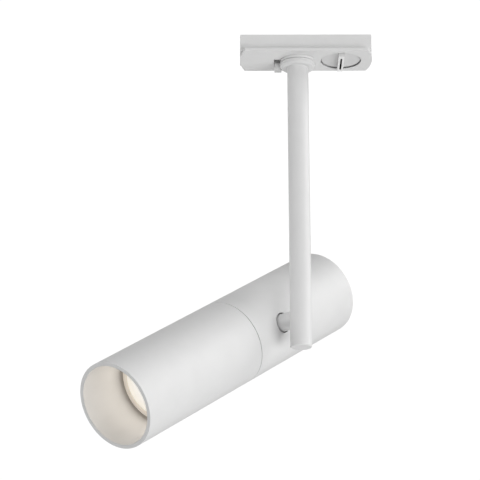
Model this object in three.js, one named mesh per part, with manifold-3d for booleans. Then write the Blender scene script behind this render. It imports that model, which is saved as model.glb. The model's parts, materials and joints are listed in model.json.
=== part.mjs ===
// A track spotlight: a track adapter, a drop rod that pans under it, and a two-part tube that
// holds a reflector lamp and tilts on a stub axle beside the rod's lower end.
//
// Millimetres, +Z up. The origin is on the rod's axis, in the plane of the track's lower face,
// which the cover plate's side strips close against. +X runs along the track.
import * as THREE from "three";
import { mergeVertices } from "three/addons/utils/BufferGeometryUtils.js";
import Module from "manifold-3d";

// ---- driving dimensions ----

const GAP = 0.3; // clearance between neighbouring pieces

// Cover plate: a strip whose two ends are shallow arcs over its whole width.
const PLATE_WIDTH = 36.2;
const PLATE_THICK = 2.35;
const PLATE_LEFT = -40.9;
const PLATE_RIGHT = 52.8;
const PLATE_END_RISE = 3.4; // how far each end's arc stands out past the corners
const GROOVE_DEPTH = 0.3;
const STRIP_EDGE = 14.3; // half width inside the two side strips that meet the track

// Adapter housing: a shell that goes up into the track.
const HOUSING_LEFT = -40.9;
const HOUSING_RIGHT = 51.9;
const HOUSING_HALF_WIDTH = 14;
const HOUSING_WALL = 1.6;
const HOUSING_TOP = 12;
const HOUSING_ROOF = 1.8;
const WALL_FOOT = 0; // the long walls stand over the plate's grooves

// Cover screws and the posts that they go into.
const SCREW_POST_X = [-36.6, 47.6];
const SCREW_POST_Y = 9.4;
const SCREW_POST_RADIUS = 2.4;
const COVER_SCREW_RADIUS = 1.05;
const COVER_SCREW_HEAD = { radius: 2.2, height: 0.9 };

// Terminal block, and where the earth contact bulges through the housing's back wall.
const TERMINAL = { left: -33.6, right: -20, half: 8, height: 7.6, pitch: 5 };
const EARTH = { left: -33.5, right: -18.5, floor: 6.5, top: 9.5 };

// Turning lock: knob below, shaft through the housing, lug on top.
const KNOB_X = 30.65;
const KNOB_RADIUS = 13.6;
const KNOB_HOLE_RADIUS = 14.3;
const KNOB_UNDERCUT = { radius: 15.4, lip: 0.4 }; // the hole widens behind a thin lip
const KNOB_LIP_RADIUS = 11; // the hole is narrower above the knob's rim
const KNOB_LIP = 0.6; // height of that narrower part
const KNOB_FACE = -1.45; // the knob's rim sits a little above the plate's lower face
const KNOB_RIM = 0.5;
const GRIP = { width: 4.2, length: 27, drop: 3.45 };
const COIN_SLOT = { width: 1.3, length: 19.3, depth: 5 };
const SHAFT_RADIUS = 5;
const SHAFT_NECK_RADIUS = 4;
const DRIVE_SQUARE = 4.8;
const LUG = { length: 31, width: 9, height: 2.7, corner: 2 };
const LUG_FLOOR = HOUSING_TOP + GAP;
const BLADE = { width: 4.4, thick: 0.5, inner: 9 };

// Latch: a slider whose finger tab hangs under the plate, which pushes a bolt out of the
// housing's back, and the leaf that holds it at either end of its travel.
const TAB = { left: -16.4, right: -11.35, front: 3.4, back: 9.2, drop: 5.1 };
const TAB_SLOT_FRONT = -2.4;
const STEM_FRONT = 6.4;
const LATCH_TRAVEL = 4;
const SLIDER = { left: -17.3, right: -10.7, front: -7, back: 8.2, floor: 1.6, top: 3.4 };
const RAIL_INSET = 0.1; // from the stem's side to the rail beside it
const BOLT = { left: -16.1, right: -12.1, front: 1, back: 13.7, floor: 3.7, top: 5.7 };

// Pan joint at the rod's top.
const BUSH = { flange: 12.35, thick: 1.8, neck: 7, hole: 7.3 };
const NIPPLE_RADIUS = 5;
const NIPPLE_BORE = 2.6;
const NIPPLE_TOP = 6.6;
const NIPPLE_FOOT = -26;
const COLLAR = { radius: 12.35, top: -4.65, foot: -8.1, chamfer: 1.25, recess: 0.8 };
const FRICTION_SEAT = { radius: 11.2, depth: 0.55 }; // the recess in the collar's top for its washer
const STOP = { radius: 10.4, width: 1.5, disc: 8.4 };
const PAN_NUT_FLATS = 14;

// Rod and tilt axis.
const ROD_RADIUS = 7.5;
const ROD_BORE = 5.3;
const ROD_FOOT = -212.95;
const ROD_CHAMFER = 0.5;
const TILT_AXIS_Z = -192;
const AXLE_HEADING = THREE.MathUtils.degToRad(134.31); // from the rod towards the tube
const AXLE_OFFSET = 46.4; // rod axis to tube axis
const AXLE_DROP = 0.9; // how far the axle sits under the tube's axis
const AXLE_RADIUS = 6.2;
const AXLE_NECK_RADIUS = 4.5;
const AXLE_SPIGOT_RADIUS = 4;
const AXLE_BORE = 2.4;
const AXLE_SHOULDER = AXLE_OFFSET - 25.2; // distances along the axle, from the rod's axis
const AXLE_END = AXLE_SHOULDER + 10;
const PLUG_RADIUS = 5;
const PLUG_TOP = TILT_AXIS_Z + 12;
const LEAD_RADIUS = 1.3;
const LEAD_BEND = 3.5;

// Tube. Distances run along the beam from the tilt axis.
const BEAM_DROP = THREE.MathUtils.degToRad(30.84); // below the horizontal
const TUBE_RADIUS = 30;
const TUBE_BORE = 27.25;
const TUBE_BACK = -79.8;
const SEAM = 28.5;
const SEAM_GAP = 0.6;
const TUBE_MOUTH = 146.8;
const AXLE_HOLE_RADIUS = 7;
const COUPLING = { back: 15, front: 43, bore: 24.9 };
const CAP = { outer: TUBE_BACK + 0.3, thick: 2.9, screwX: -14, screwY: 5.5 };
const CAP_SCREW = { head: 2.9, shank: 1.3, sink: 1.6, length: 8, clearance: 0.4 };

// Chassis bracket: a strap beside the tube's axis, stepped inwards to pass the coupling ring.
const STRAP_X = -24; // the strap's face towards the rod, from the tube's axis
const STRAP_THICK = 2;
const STRAP_HALF_WIDTH = 10;
const INNER_STRAP_X = -20;
const INNER_STRAP_HALF_WIDTH = 9;
const STRAP_STEP = 11;
const HOLDER_FLANGE = 36.5;

// Lamp and its holder.
const HOLDER = { length: 29, width: 18, corner: 6, back: 38.8, front: 59.3, screwX: 10 };
const PIN_SPACING = 10;
const LAMP = { base: 59.7, front: 109.6, rim: 25.3, lens: 22.4, lensBack: 107.4, lensFront: 109 };

const WHITE_PAINT = { color: 0xe6e6e5, roughness: 0.5, metalness: 0 };
const WHITE_PLASTIC = { color: 0xe2e2e1, roughness: 0.55, metalness: 0 };
const STEEL = { color: 0xb9bcc0, roughness: 0.35, metalness: 1 };
const BRASS = { color: 0xc9a352, roughness: 0.35, metalness: 1 };
const FIBRE = { color: 0x4a3b30, roughness: 0.8, metalness: 0 };
const DARK_PLASTIC = { color: 0x2c2d2f, roughness: 0.6, metalness: 0 };
const CERAMIC = { color: 0xe9e4da, roughness: 0.6, metalness: 0 };
const LAMP_SHELL = { color: 0xe8ddcb, roughness: 0.45, metalness: 0 };
const LAMP_LENS = { color: 0xfff3df, roughness: 0.3, metalness: 0 };
const LEAD_SHEATH = { color: 0xf0f0ee, roughness: 0.6, metalness: 0 };

// ---- solids ----

const wasm = await Module();
wasm.setup();

// A closed three.js geometry as a solid that can be joined and cut.
function solid(geometry) {
  geometry.deleteAttribute("normal");
  geometry.deleteAttribute("uv");
  const merged = mergeVertices(geometry, 1e-4);
  const mesh = new wasm.Mesh({
    numProp: 3,
    vertProperties: new Float32Array(merged.attributes.position.array),
    triVerts: new Uint32Array(merged.index.array),
  });
  return new wasm.Manifold(mesh);
}

function join(first, ...others) {
  return others.reduce((whole, other) => whole.add(other), first);
}

function cut(body, ...tools) {
  return tools.reduce((rest, tool) => rest.subtract(tool), body);
}

function mesh(name, body, finish) {
  const made = body.getMesh();
  const geometry = new THREE.BufferGeometry();
  geometry.setAttribute("position", new THREE.BufferAttribute(made.vertProperties, 3));
  geometry.setIndex(new THREE.BufferAttribute(made.triVerts, 1));
  geometry.computeVertexNormals();
  const result = new THREE.Mesh(geometry, new THREE.MeshStandardMaterial(finish));
  result.name = name;
  return result;
}

function box(xs, ys, zs) {
  const geometry = new THREE.BoxGeometry(xs[1] - xs[0], ys[1] - ys[0], zs[1] - zs[0]);
  geometry.translate((xs[0] + xs[1]) / 2, (ys[0] + ys[1]) / 2, (zs[0] + zs[1]) / 2);
  return solid(geometry);
}

// A solid of revolution about Z. The outline is a list of [radius, z] that either starts and
// ends on the axis or is closed by its first point.
function turned(outline, sides) {
  const onAxis = outline[0][0] === 0;
  const loop = onAxis ? outline : [...outline, outline[0]];
  const area = loop.slice(1).reduce((sum, [r, z], i) => sum + loop[i][0] * z - r * loop[i][1], 0);
  const points = loop.map(([r, z]) => new THREE.Vector2(r, z));
  if (area < 0) points.reverse();
  const geometry = new THREE.LatheGeometry(points, sides);
  geometry.rotateX(Math.PI / 2);
  return solid(geometry);
}

function ring(inner, outer, z0, z1, sides = 48) {
  return turned([[inner, z0], [outer, z0], [outer, z1], [inner, z1]], sides);
}

function disc(radius, z0, z1, sides = 32) {
  return turned([[0, z0], [radius, z0], [radius, z1], [0, z1]], sides);
}

// A cylinder along X, centred on y = z = 0.
function crossDisc(radius, x0, x1, sides = 32) {
  const geometry = new THREE.CylinderGeometry(radius, radius, x1 - x0, sides);
  geometry.rotateZ(Math.PI / 2);
  geometry.translate((x0 + x1) / 2, 0, 0);
  return solid(geometry);
}

function prism(shape, z0, z1, curveSegments = 12) {
  const settings = { depth: z1 - z0, bevelEnabled: false, curveSegments };
  const geometry = new THREE.ExtrudeGeometry(shape, settings);
  geometry.translate(0, 0, z0);
  return solid(geometry);
}

function hexShape(flats) {
  const corners = Array.from({ length: 6 }, (_, i) => {
    const angle = (i * Math.PI) / 3;
    const reach = flats / Math.sqrt(3);
    return new THREE.Vector2(reach * Math.cos(angle), reach * Math.sin(angle));
  });
  return new THREE.Shape(corners);
}

function roundedShape(length, width, corner) {
  const x = length / 2;
  const y = width / 2;
  const shape = new THREE.Shape();
  shape.moveTo(-x + corner, -y);
  shape.lineTo(x - corner, -y);
  shape.absarc(x - corner, -y + corner, corner, -Math.PI / 2, 0);
  shape.lineTo(x, y - corner);
  shape.absarc(x - corner, y - corner, corner, 0, Math.PI / 2);
  shape.lineTo(-x + corner, y);
  shape.absarc(-x + corner, y - corner, corner, Math.PI / 2, Math.PI);
  shape.lineTo(-x, -y + corner);
  shape.absarc(-x + corner, -y + corner, corner, Math.PI, 1.5 * Math.PI);
  return shape;
}

// A flat spring strip seen from above: an even thickness about a line of points.
function stripShape(points, thick) {
  const line = points.map(([x, y]) => new THREE.Vector2(x, y));
  const side = (sign) =>
    line.map((point, i) => {
      const before = point.clone().sub(line[Math.max(i - 1, 0)]).normalize();
      const after = line[Math.min(i + 1, line.length - 1)].clone().sub(point).normalize();
      const along = before.add(after).normalize();
      return new THREE.Vector2(-along.y, along.x).multiplyScalar((sign * thick) / 2).add(point);
    });
  return new THREE.Shape([...side(-1), ...side(1).reverse()]);
}

function tubeAlong(curve, radius, steps, sides = 8) {
  const corners = Array.from({ length: sides }, (_, i) => {
    const angle = (2 * Math.PI * i) / sides;
    return new THREE.Vector2(radius * Math.cos(angle), radius * Math.sin(angle));
  });
  const settings = { steps, bevelEnabled: false, extrudePath: curve };
  return solid(new THREE.ExtrudeGeometry(new THREE.Shape(corners), settings));
}

function washer(name, inner, outer, z0, z1, finish) {
  return mesh(name, ring(inner, outer, z0, z1, 28), finish);
}

// ---- adapter: what stays still in the track ----

function plateShape() {
  const halfWidth = PLATE_WIDTH / 2;
  const radius = (halfWidth ** 2 + PLATE_END_RISE ** 2) / (2 * PLATE_END_RISE);
  const sweep = Math.asin(halfWidth / radius);
  const shape = new THREE.Shape();
  shape.absarc(PLATE_RIGHT - radius, 0, radius, -sweep, sweep);
  shape.absarc(PLATE_LEFT + radius, 0, radius, Math.PI - sweep, Math.PI + sweep);
  shape.closePath();
  return shape;
}

function screwPosts() {
  return SCREW_POST_X.flatMap((x) => [-SCREW_POST_Y, SCREW_POST_Y].map((y) => [x, y]));
}

function coverPlate() {
  const far = PLATE_WIDTH;
  const grooveIn = HOUSING_HALF_WIDTH - HOUSING_WALL - GAP;
  const grooves = [-1, 1].map((side) => {
    const ys = [side * grooveIn, side * STRIP_EDGE].sort((a, b) => a - b);
    return box([PLATE_LEFT - 5, PLATE_RIGHT + 5], ys, [-GROOVE_DEPTH, 1]);
  });
  const knobRecess = disc(KNOB_HOLE_RADIUS, -far, -KNOB_LIP, 48).translate(KNOB_X, 0, 0);
  const lipTop = -PLATE_THICK + KNOB_UNDERCUT.lip;
  const knobUndercut = disc(KNOB_UNDERCUT.radius, lipTop, -KNOB_LIP, 48).translate(KNOB_X, 0, 0);
  const knobHole = disc(KNOB_LIP_RADIUS, -far, far, 32).translate(KNOB_X, 0, 0);
  const tabSlot = box(
    [TAB.left - GAP, TAB.right + GAP],
    [TAB_SLOT_FRONT, SLIDER.back + LATCH_TRAVEL + GAP],
    [-far, far],
  );
  const slab = cut(
    prism(plateShape(), -PLATE_THICK, 0),
    ...grooves,
    disc(BUSH.hole, -far, far, 32),
    knobRecess,
    knobUndercut,
    knobHole,
    tabSlot,
  );
  const roof = HOUSING_TOP - HOUSING_ROOF;
  const posts = screwPosts().map(([x, y]) =>
    disc(SCREW_POST_RADIUS, -PLATE_THICK / 2, roof - GAP, 12).translate(x, y, 0),
  );
  const pilots = screwPosts().map(([x, y]) =>
    disc(COVER_SCREW_RADIUS + GAP, 3, far, 8).translate(x, y, 0),
  );
  const stopPost = box([-STOP.radius, -STOP.disc - 0.4], [-0.7, 0.7], [-PLATE_THICK / 2, 3.2]);
  return mesh("cover_plate", cut(join(slab, ...posts, stopPost), ...pilots), WHITE_PLASTIC);
}

function adapterHousing() {
  const half = HOUSING_HALF_WIDTH;
  const inner = half - HOUSING_WALL;
  const roof = HOUSING_TOP - HOUSING_ROOF;
  const outside = box([HOUSING_LEFT, HOUSING_RIGHT], [-half, half], [WALL_FOOT, HOUSING_TOP]);
  const inside = box(
    [HOUSING_LEFT + HOUSING_WALL, HOUSING_RIGHT - HOUSING_WALL],
    [-inner, inner],
    [-5, roof],
  );
  const endRelief = box([HOUSING_LEFT - 1, HOUSING_RIGHT + 1], [-inner, inner], [-5, GAP]);
  const shaftHole = disc(SHAFT_NECK_RADIUS + GAP, 5, 20).translate(KNOB_X, 0, 0);
  const boltSlot = box(
    [BOLT.left - GAP, BOLT.right + GAP],
    [inner - 1, half + 1],
    [BOLT.floor - GAP, BOLT.top + GAP],
  );
  const earthWindow = box(
    [EARTH.left + 0.8, EARTH.right - 0.8],
    [inner - 1, half + 1],
    [EARTH.floor - GAP, EARTH.top + GAP],
  );
  const head = COVER_SCREW_HEAD;
  const screwHoles = screwPosts().map(([x, y]) =>
    join(
      disc(COVER_SCREW_RADIUS + GAP, 5, 20, 8),
      disc(head.radius + GAP, HOUSING_TOP - head.height - 0.2, 20, 16),
    ).translate(x, y, 0),
  );
  const shell = cut(outside, inside, endRelief, shaftHole, boltSlot, earthWindow, ...screwHoles);
  return mesh("adapter_housing", shell, WHITE_PLASTIC);
}

function coverScrews() {
  const head = COVER_SCREW_HEAD;
  const underHead = HOUSING_TOP - head.height;
  return screwPosts().map(([x, y], i) => {
    const body = join(
      disc(COVER_SCREW_RADIUS, 3.6, underHead + 0.1, 8),
      disc(head.radius, underHead, HOUSING_TOP, 12),
    );
    const slot = box([-3, 3], [-0.3, 0.3], [HOUSING_TOP - 0.5, HOUSING_TOP + 1]);
    return mesh(`cover_screw_${i + 1}`, cut(body, slot).translate(x, y, 0), STEEL);
  });
}

// The terminal block, with its three clamping screws in a row across the track.
function terminals() {
  const { left, right, half, height, pitch } = TERMINAL;
  const screwX = (left + right) / 2;
  const rows = [-pitch, 0, pitch];
  const wells = rows.map((y) => disc(1.8, height - 3, height + 1, 16).translate(screwX, y, 0));
  const entries = rows.map((y) => crossDisc(1.2, screwX + 2.5, right + 1, 12).translate(0, y, 2.6));
  const block = cut(box([left, right], [-half, half], [GAP, height]), ...wells, ...entries);
  const screws = rows.map((y, i) => {
    const slot = box([-2, 2], [-0.25, 0.25], [height - 0.8, height]);
    const body = cut(disc(1.5, height - 2.7, height - 0.3, 12), slot);
    return mesh(`terminal_screw_${i + 1}`, body.translate(screwX, y, 0), BRASS);
  });
  return [mesh("terminal_block", block, DARK_PLASTIC), ...screws];
}

// Fixed brass strips that feed the turning lock's shaft from the terminal block.
function feedStrips() {
  const names = ["live_strip", "neutral_strip"];
  return names.map((name, i) => {
    const side = i ? 1 : -1;
    const line = [[-19.6, 5.5], [-18, 5.5], [-15.5, 11.25], [22, 11.25], [27.2, 7], [29.5, 5.6]];
    const shape = stripShape(line.map(([x, y]) => [x, side * y]), 0.5);
    return mesh(name, prism(shape, 6, 9), BRASS);
  });
}

// A leaf that springs out through the housing's back wall to touch the track's earth.
function earthContact() {
  const { left, right, floor, top } = EARTH;
  const inside = HOUSING_HALF_WIDTH - HOUSING_WALL - 0.8;
  const outside = HOUSING_HALF_WIDTH + 1.2;
  const line = [
    [left, inside],
    [left + 1.5, inside],
    [left + 5.5, outside],
    [right - 5.5, outside],
    [right - 1.5, inside],
    [right, inside],
  ];
  return mesh("earth_contact", prism(stripShape(line, 0.5), floor, top), BRASS);
}

function adapterLead() {
  const route = [[-19.6, 7.9], [-14, 8.4], [-8, 8.6], [-3.4, 8.5], [-0.9, 8], [-0.2, 7.4]];
  const points = route.map(([x, z]) => new THREE.Vector3(x, 0, z));
  const curve = new THREE.CatmullRomCurve3(points, false, "centripetal");
  return mesh("adapter_lead", tubeAlong(curve, LEAD_RADIUS, 14), LEAD_SHEATH);
}

// The thin flange that shows against the plate, with a neck in the plate's hole.
function panBush() {
  const top = -PLATE_THICK - 0.1;
  const bore = NIPPLE_RADIUS + GAP;
  const outline = [
    [bore, top - BUSH.thick],
    [BUSH.flange, top - BUSH.thick],
    [BUSH.flange, top],
    [BUSH.neck, top],
    [BUSH.neck, -0.1],
    [bore, -0.1],
  ];
  return mesh("pan_bush", turned(outline, 40), WHITE_PLASTIC);
}

// A leaf beside the slider, whose two bulges hold it at either end of its travel.
function detentSpring() {
  const rest = SLIDER.left - 1.3;
  const bulge = SLIDER.left - GAP - 0.2;
  const line = [[rest, -8], [rest, -5], [bulge, -3], [rest, -1], [bulge, 1], [rest, 3], [rest, 6]];
  return mesh("detent_spring", prism(stripShape(line, 0.3), GAP, SLIDER.top), STEEL);
}

// ---- latch slider and its bolt ----

function latchParts() {
  const width = [TAB.left, TAB.right];
  const tabTop = -PLATE_THICK - 0.2;
  const finger = box(width, [TAB.front, TAB.back], [-PLATE_THICK - TAB.drop, tabTop]);
  const tab = cut(finger, disc(COLLAR.radius + GAP, -20, 0, 64));
  const stem = box(width, [STEM_FRONT, SLIDER.back], [tabTop - 0.2, SLIDER.floor + 0.2]);
  const length = [SLIDER.front, SLIDER.back];
  const bar = box([SLIDER.left, SLIDER.right], length, [SLIDER.floor, SLIDER.top]);
  const edges = [[SLIDER.left, TAB.left - RAIL_INSET], [TAB.right + RAIL_INSET, SLIDER.right]];
  const rails = edges.map((xs) => box(xs, length, [GAP, SLIDER.floor + 0.2]));
  const bolt = box([BOLT.left, BOLT.right], [BOLT.front, BOLT.back], [BOLT.floor, BOLT.top]);
  const wedge = box([BOLT.left - 1, BOLT.right + 1], [-1, 2], [-3, 3]);
  const slope = wedge.rotate([45, 0, 0]).translate(0, BOLT.back + 0.6, BOLT.top + 1.4);
  return [
    mesh("latch_slider", join(bar, ...rails, stem, tab), WHITE_PLASTIC),
    mesh("latch_bolt", cut(bolt, slope), STEEL),
  ];
}

// ---- turning lock ----

function lockKnob() {
  const rimTop = KNOB_FACE + KNOB_RIM;
  const square = DRIVE_SQUARE / 2;
  const lugTop = LUG_FLOOR + LUG.height;
  const body = turned(
    [
      [0, KNOB_FACE],
      [KNOB_RADIUS, KNOB_FACE],
      [KNOB_RADIUS, rimTop],
      [KNOB_LIP_RADIUS - GAP, rimTop],
      [KNOB_LIP_RADIUS - GAP, 1.2],
      [SHAFT_RADIUS, 1.2],
      [SHAFT_RADIUS, 9.8],
      [SHAFT_NECK_RADIUS, 9.8],
      [SHAFT_NECK_RADIUS, HOUSING_TOP + 0.1],
      [0, HOUSING_TOP + 0.1],
    ],
    40,
  );
  const drive = box([-square, square], [-square, square], [HOUSING_TOP - 1, lugTop - 0.3]);
  const grip = box(
    [-GRIP.width / 2, GRIP.width / 2],
    [-GRIP.length / 2, GRIP.length / 2],
    [KNOB_FACE - GRIP.drop, KNOB_FACE + 0.2],
  );
  const slotTop = KNOB_FACE - GRIP.drop + COIN_SLOT.depth;
  const slot = box(
    [-COIN_SLOT.width / 2, COIN_SLOT.width / 2],
    [-COIN_SLOT.length / 2, COIN_SLOT.length / 2],
    [KNOB_FACE - GRIP.drop - 1, slotTop],
  );
  const screwHole = disc(1.5, 5.5, 20, 10);
  const knob = cut(join(body, drive, grip), slot, screwHole);
  return mesh("lock_knob", knob, WHITE_PLASTIC);
}

function lockLug() {
  const reach = DRIVE_SQUARE / 2 + GAP;
  const top = LUG_FLOOR + LUG.height;
  const bar = prism(roundedShape(LUG.length, LUG.width, LUG.corner), LUG_FLOOR, top, 3);
  const lug = cut(bar, box([-reach, reach], [-reach, reach], [0, 30]));
  const screw = join(disc(1.2, 6, top + 0.4, 8), disc(3.4, top + 0.15, top + 1.15, 16));
  const recess = box([-2, 2], [-0.35, 0.35], [top + 0.6, top + 2]);
  return [
    mesh("lock_lug", lug, DARK_PLASTIC),
    mesh("lug_screw", cut(screw, recess), STEEL),
  ];
}

// Brass blades bent over the lug's two ends.
function contactBlades() {
  const end = LUG.length / 2 + 0.25;
  const over = LUG_FLOOR + LUG.height + 0.15;
  const half = BLADE.width / 2;
  return ["contact_live", "contact_neutral"].map((name, i) => {
    const leaf = box([BLADE.inner, end + BLADE.thick], [-half, half], [over, over + BLADE.thick]);
    const tip = box([end, end + BLADE.thick], [-half, half], [LUG_FLOOR, over + BLADE.thick]);
    return mesh(name, join(leaf, tip).rotate([0, 0, 180 * i]), BRASS);
  });
}

// ---- rod: what pans ----

function panHardware() {
  const bore = NIPPLE_RADIUS + GAP;
  const underBush = -PLATE_THICK - 0.1 - BUSH.thick - 0.2;
  const frictionFoot = COLLAR.top - FRICTION_SEAT.depth + 0.2;
  const tooth = box([0, STOP.radius], [-STOP.width / 2, STOP.width / 2], [2, 2.8]);
  const stop = cut(join(disc(STOP.disc, 2, 2.8, 28), tooth), disc(bore, 0, 5, 28));
  const nut = cut(prism(hexShape(PAN_NUT_FLATS), 3, 6), disc(bore, 0, 8, 28));
  return [
    washer("pan_friction_washer", bore, FRICTION_SEAT.radius - GAP, frictionFoot, underBush, FIBRE),
    washer("pan_washer", bore, 8.3, 0.2, 1, STEEL),
    washer("pan_spring_washer", bore, 8, 1.2, 1.8, STEEL),
    mesh("pan_stop_washer", stop, STEEL),
    mesh("pan_nut", nut, STEEL),
    mesh("rod_nipple", ring(NIPPLE_BORE, NIPPLE_RADIUS, NIPPLE_FOOT, NIPPLE_TOP, 28), STEEL),
  ];
}

function panCollar() {
  const { radius, top, foot, chamfer, recess } = COLLAR;
  const bore = NIPPLE_RADIUS + GAP;
  const seat = top - FRICTION_SEAT.depth;
  const outline = [
    [bore, foot + recess + 0.2],
    [ROD_RADIUS + 0.2, foot + recess + 0.2],
    [ROD_RADIUS + 0.2, foot],
    [radius - chamfer, foot],
    [radius, foot + chamfer],
    [radius, top],
    [FRICTION_SEAT.radius, top],
    [FRICTION_SEAT.radius, seat],
    [bore, seat],
  ];
  return mesh("pan_collar", turned(outline, 40), WHITE_PAINT);
}

function rodTube() {
  const outline = [
    [ROD_BORE, ROD_FOOT],
    [ROD_RADIUS - ROD_CHAMFER, ROD_FOOT],
    [ROD_RADIUS, ROD_FOOT + ROD_CHAMFER],
    [ROD_RADIUS, COLLAR.foot + COLLAR.recess],
    [ROD_BORE, COLLAR.foot + COLLAR.recess],
  ];
  const hole = crossDisc(AXLE_SPIGOT_RADIUS + GAP, 0, 20).translate(0, 0, TILT_AXIS_Z);
  return mesh("rod", cut(turned(outline, 40), hole), WHITE_PAINT);
}

// The plug in the rod's lower end gives the axle's thread its depth and leads the wires round.
function rodPlug() {
  const body = disc(PLUG_RADIUS, ROD_FOOT, PLUG_TOP, 24);
  const down = disc(2.2, TILT_AXIS_Z, PLUG_TOP + 1, 12);
  const across = crossDisc(AXLE_SPIGOT_RADIUS + GAP, -2, 20, 20).translate(0, 0, TILT_AXIS_Z);
  return mesh("rod_plug", cut(body, down, across), STEEL);
}

function stubAxle() {
  const body = join(
    crossDisc(AXLE_SPIGOT_RADIUS, 3, ROD_RADIUS + 2, 20),
    cut(crossDisc(AXLE_RADIUS, 3, AXLE_SHOULDER, 32), disc(ROD_RADIUS + 0.2, -20, 20, 40)),
    crossDisc(AXLE_NECK_RADIUS, AXLE_SHOULDER - 1, AXLE_END, 24),
  );
  const axle = cut(body, crossDisc(AXLE_BORE, 0, AXLE_END + 1, 14));
  return mesh("stub_axle", axle.translate(0, 0, TILT_AXIS_Z), WHITE_PAINT);
}

// Washers and nut that clamp the chassis bracket on the axle's neck.
function tiltHardware() {
  const bore = AXLE_NECK_RADIUS + 0.2;
  const clampRing = (name, outer, x0, x1, finish) => {
    const body = cut(crossDisc(outer, x0, x1, 28), crossDisc(bore, x0 - 1, x1 + 1, 24));
    return mesh(name, body.translate(0, 0, TILT_AXIS_Z), finish);
  };
  const bracketFace = AXLE_OFFSET + STRAP_X;
  const behind = bracketFace + STRAP_THICK;
  const nut = prism(hexShape(13), behind + 1, behind + 5).rotate([0, 90, 0]);
  const hollow = cut(nut, crossDisc(bore, 0, 50, 24)).translate(0, 0, TILT_AXIS_Z);
  return [
    clampRing("tilt_washer", 7.6, AXLE_SHOULDER + 0.2, bracketFace - 0.2, FIBRE),
    clampRing("tilt_spring_washer", 7.3, behind + 0.2, behind + 0.8, STEEL),
    mesh("tilt_nut", hollow, STEEL),
  ];
}

// Down the rod's middle, round one bend and out along the axle.
function rodLead() {
  const top = new THREE.Vector3(0, 0, NIPPLE_TOP - 0.5);
  const bendTop = new THREE.Vector3(0, 0, TILT_AXIS_Z + LEAD_BEND);
  const corner = new THREE.Vector3(0, 0, TILT_AXIS_Z);
  const bendEnd = new THREE.Vector3(LEAD_BEND, 0, TILT_AXIS_Z);
  const end = new THREE.Vector3(AXLE_END + 0.2, 0, TILT_AXIS_Z);
  const lap = 0.2;
  const down = disc(LEAD_RADIUS, bendTop.z - lap, top.z, 8);
  const bend = tubeAlong(new THREE.QuadraticBezierCurve3(bendTop, corner, bendEnd), LEAD_RADIUS, 6);
  const out = crossDisc(LEAD_RADIUS, bendEnd.x - lap, end.x, 8).translate(0, 0, TILT_AXIS_Z);
  return mesh("rod_lead", join(down, bend, out), LEAD_SHEATH);
}

// ---- tube: what tilts. Z is the beam, X runs away from the rod ----

function rearHousing() {
  const shell = ring(TUBE_BORE, TUBE_RADIUS, TUBE_BACK, SEAM - SEAM_GAP / 2, 72);
  const hole = crossDisc(AXLE_HOLE_RADIUS, -TUBE_RADIUS - 5, -TUBE_BORE + 5, 32);
  return mesh("rear_housing", cut(shell, hole.translate(0, AXLE_DROP, 0)), WHITE_PAINT);
}

function couplingRing() {
  const body = ring(COUPLING.bore, TUBE_BORE - GAP, COUPLING.back, COUPLING.front, 48);
  return mesh("coupling_ring", body, STEEL);
}

function rearCap() {
  const { outer, thick, screwX, screwY } = CAP;
  const { head, shank, sink, length, clearance } = CAP_SCREW;
  const inner = outer + thick;
  const places = [-screwY, screwY];
  const seat = [
    [0, outer - 1],
    [head + clearance, outer - 1],
    [head + clearance, outer],
    [shank + clearance, outer + sink],
    [shank + clearance, inner + 1],
    [0, inner + 1],
  ];
  const holes = places.map((y) => turned(seat, 12).translate(screwX, y, 0));
  const cap = cut(disc(TUBE_BORE - GAP, outer, inner, 48), ...holes);
  const profile = [
    [0, outer],
    [head, outer],
    [shank, outer + sink],
    [shank, outer + length],
    [0, outer + length],
  ];
  const slot = box([-4, 4], [-0.35, 0.35], [outer - 1, outer + 0.7]);
  const screws = places.map((y, i) => {
    const screw = cut(turned(profile, 12), slot).translate(screwX, y, 0);
    return mesh(`cap_screw_${i + 1}`, screw, STEEL);
  });
  return [mesh("rear_cap", cap, WHITE_PAINT), ...screws];
}

function chassisBracket() {
  const wide = [-STRAP_HALF_WIDTH, STRAP_HALF_WIDTH];
  const narrow = [-INNER_STRAP_HALF_WIDTH, INNER_STRAP_HALF_WIDTH];
  const back = CAP.outer + CAP.thick + 0.3;
  const end = HOLDER_FLANGE + STRAP_THICK;
  const strap = box([STRAP_X, STRAP_X + STRAP_THICK], wide, [back, STRAP_STEP + STRAP_THICK]);
  const foot = box([STRAP_X, -6], wide, [back, back + STRAP_THICK]);
  const step = box([STRAP_X, INNER_STRAP_X + STRAP_THICK], narrow, [STRAP_STEP, STRAP_STEP + STRAP_THICK]);
  const inner = box([INNER_STRAP_X, INNER_STRAP_X + STRAP_THICK], narrow, [STRAP_STEP, end]);
  const flange = box([INNER_STRAP_X, 14], narrow, [HOLDER_FLANGE, end]);
  const capHoles = [-CAP.screwY, CAP.screwY].map((y) =>
    disc(1.6, back - 1, back + 5, 10).translate(CAP.screwX, y, 0),
  );
  const holderHoles = [-HOLDER.screwX, HOLDER.screwX].map((x) =>
    disc(1.7, HOLDER_FLANGE - 1, end + 1, 10).translate(x, 0, 0),
  );
  const bracket = cut(
    join(strap, foot, step, inner, flange),
    crossDisc(AXLE_NECK_RADIUS + GAP, STRAP_X - 1, STRAP_X + 3, 24).translate(0, AXLE_DROP, 0),
    disc(3.5, HOLDER_FLANGE - 1, end + 1, 14),
    ...capHoles,
    ...holderHoles,
  );
  return mesh("chassis_bracket", bracket, STEEL);
}

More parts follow.
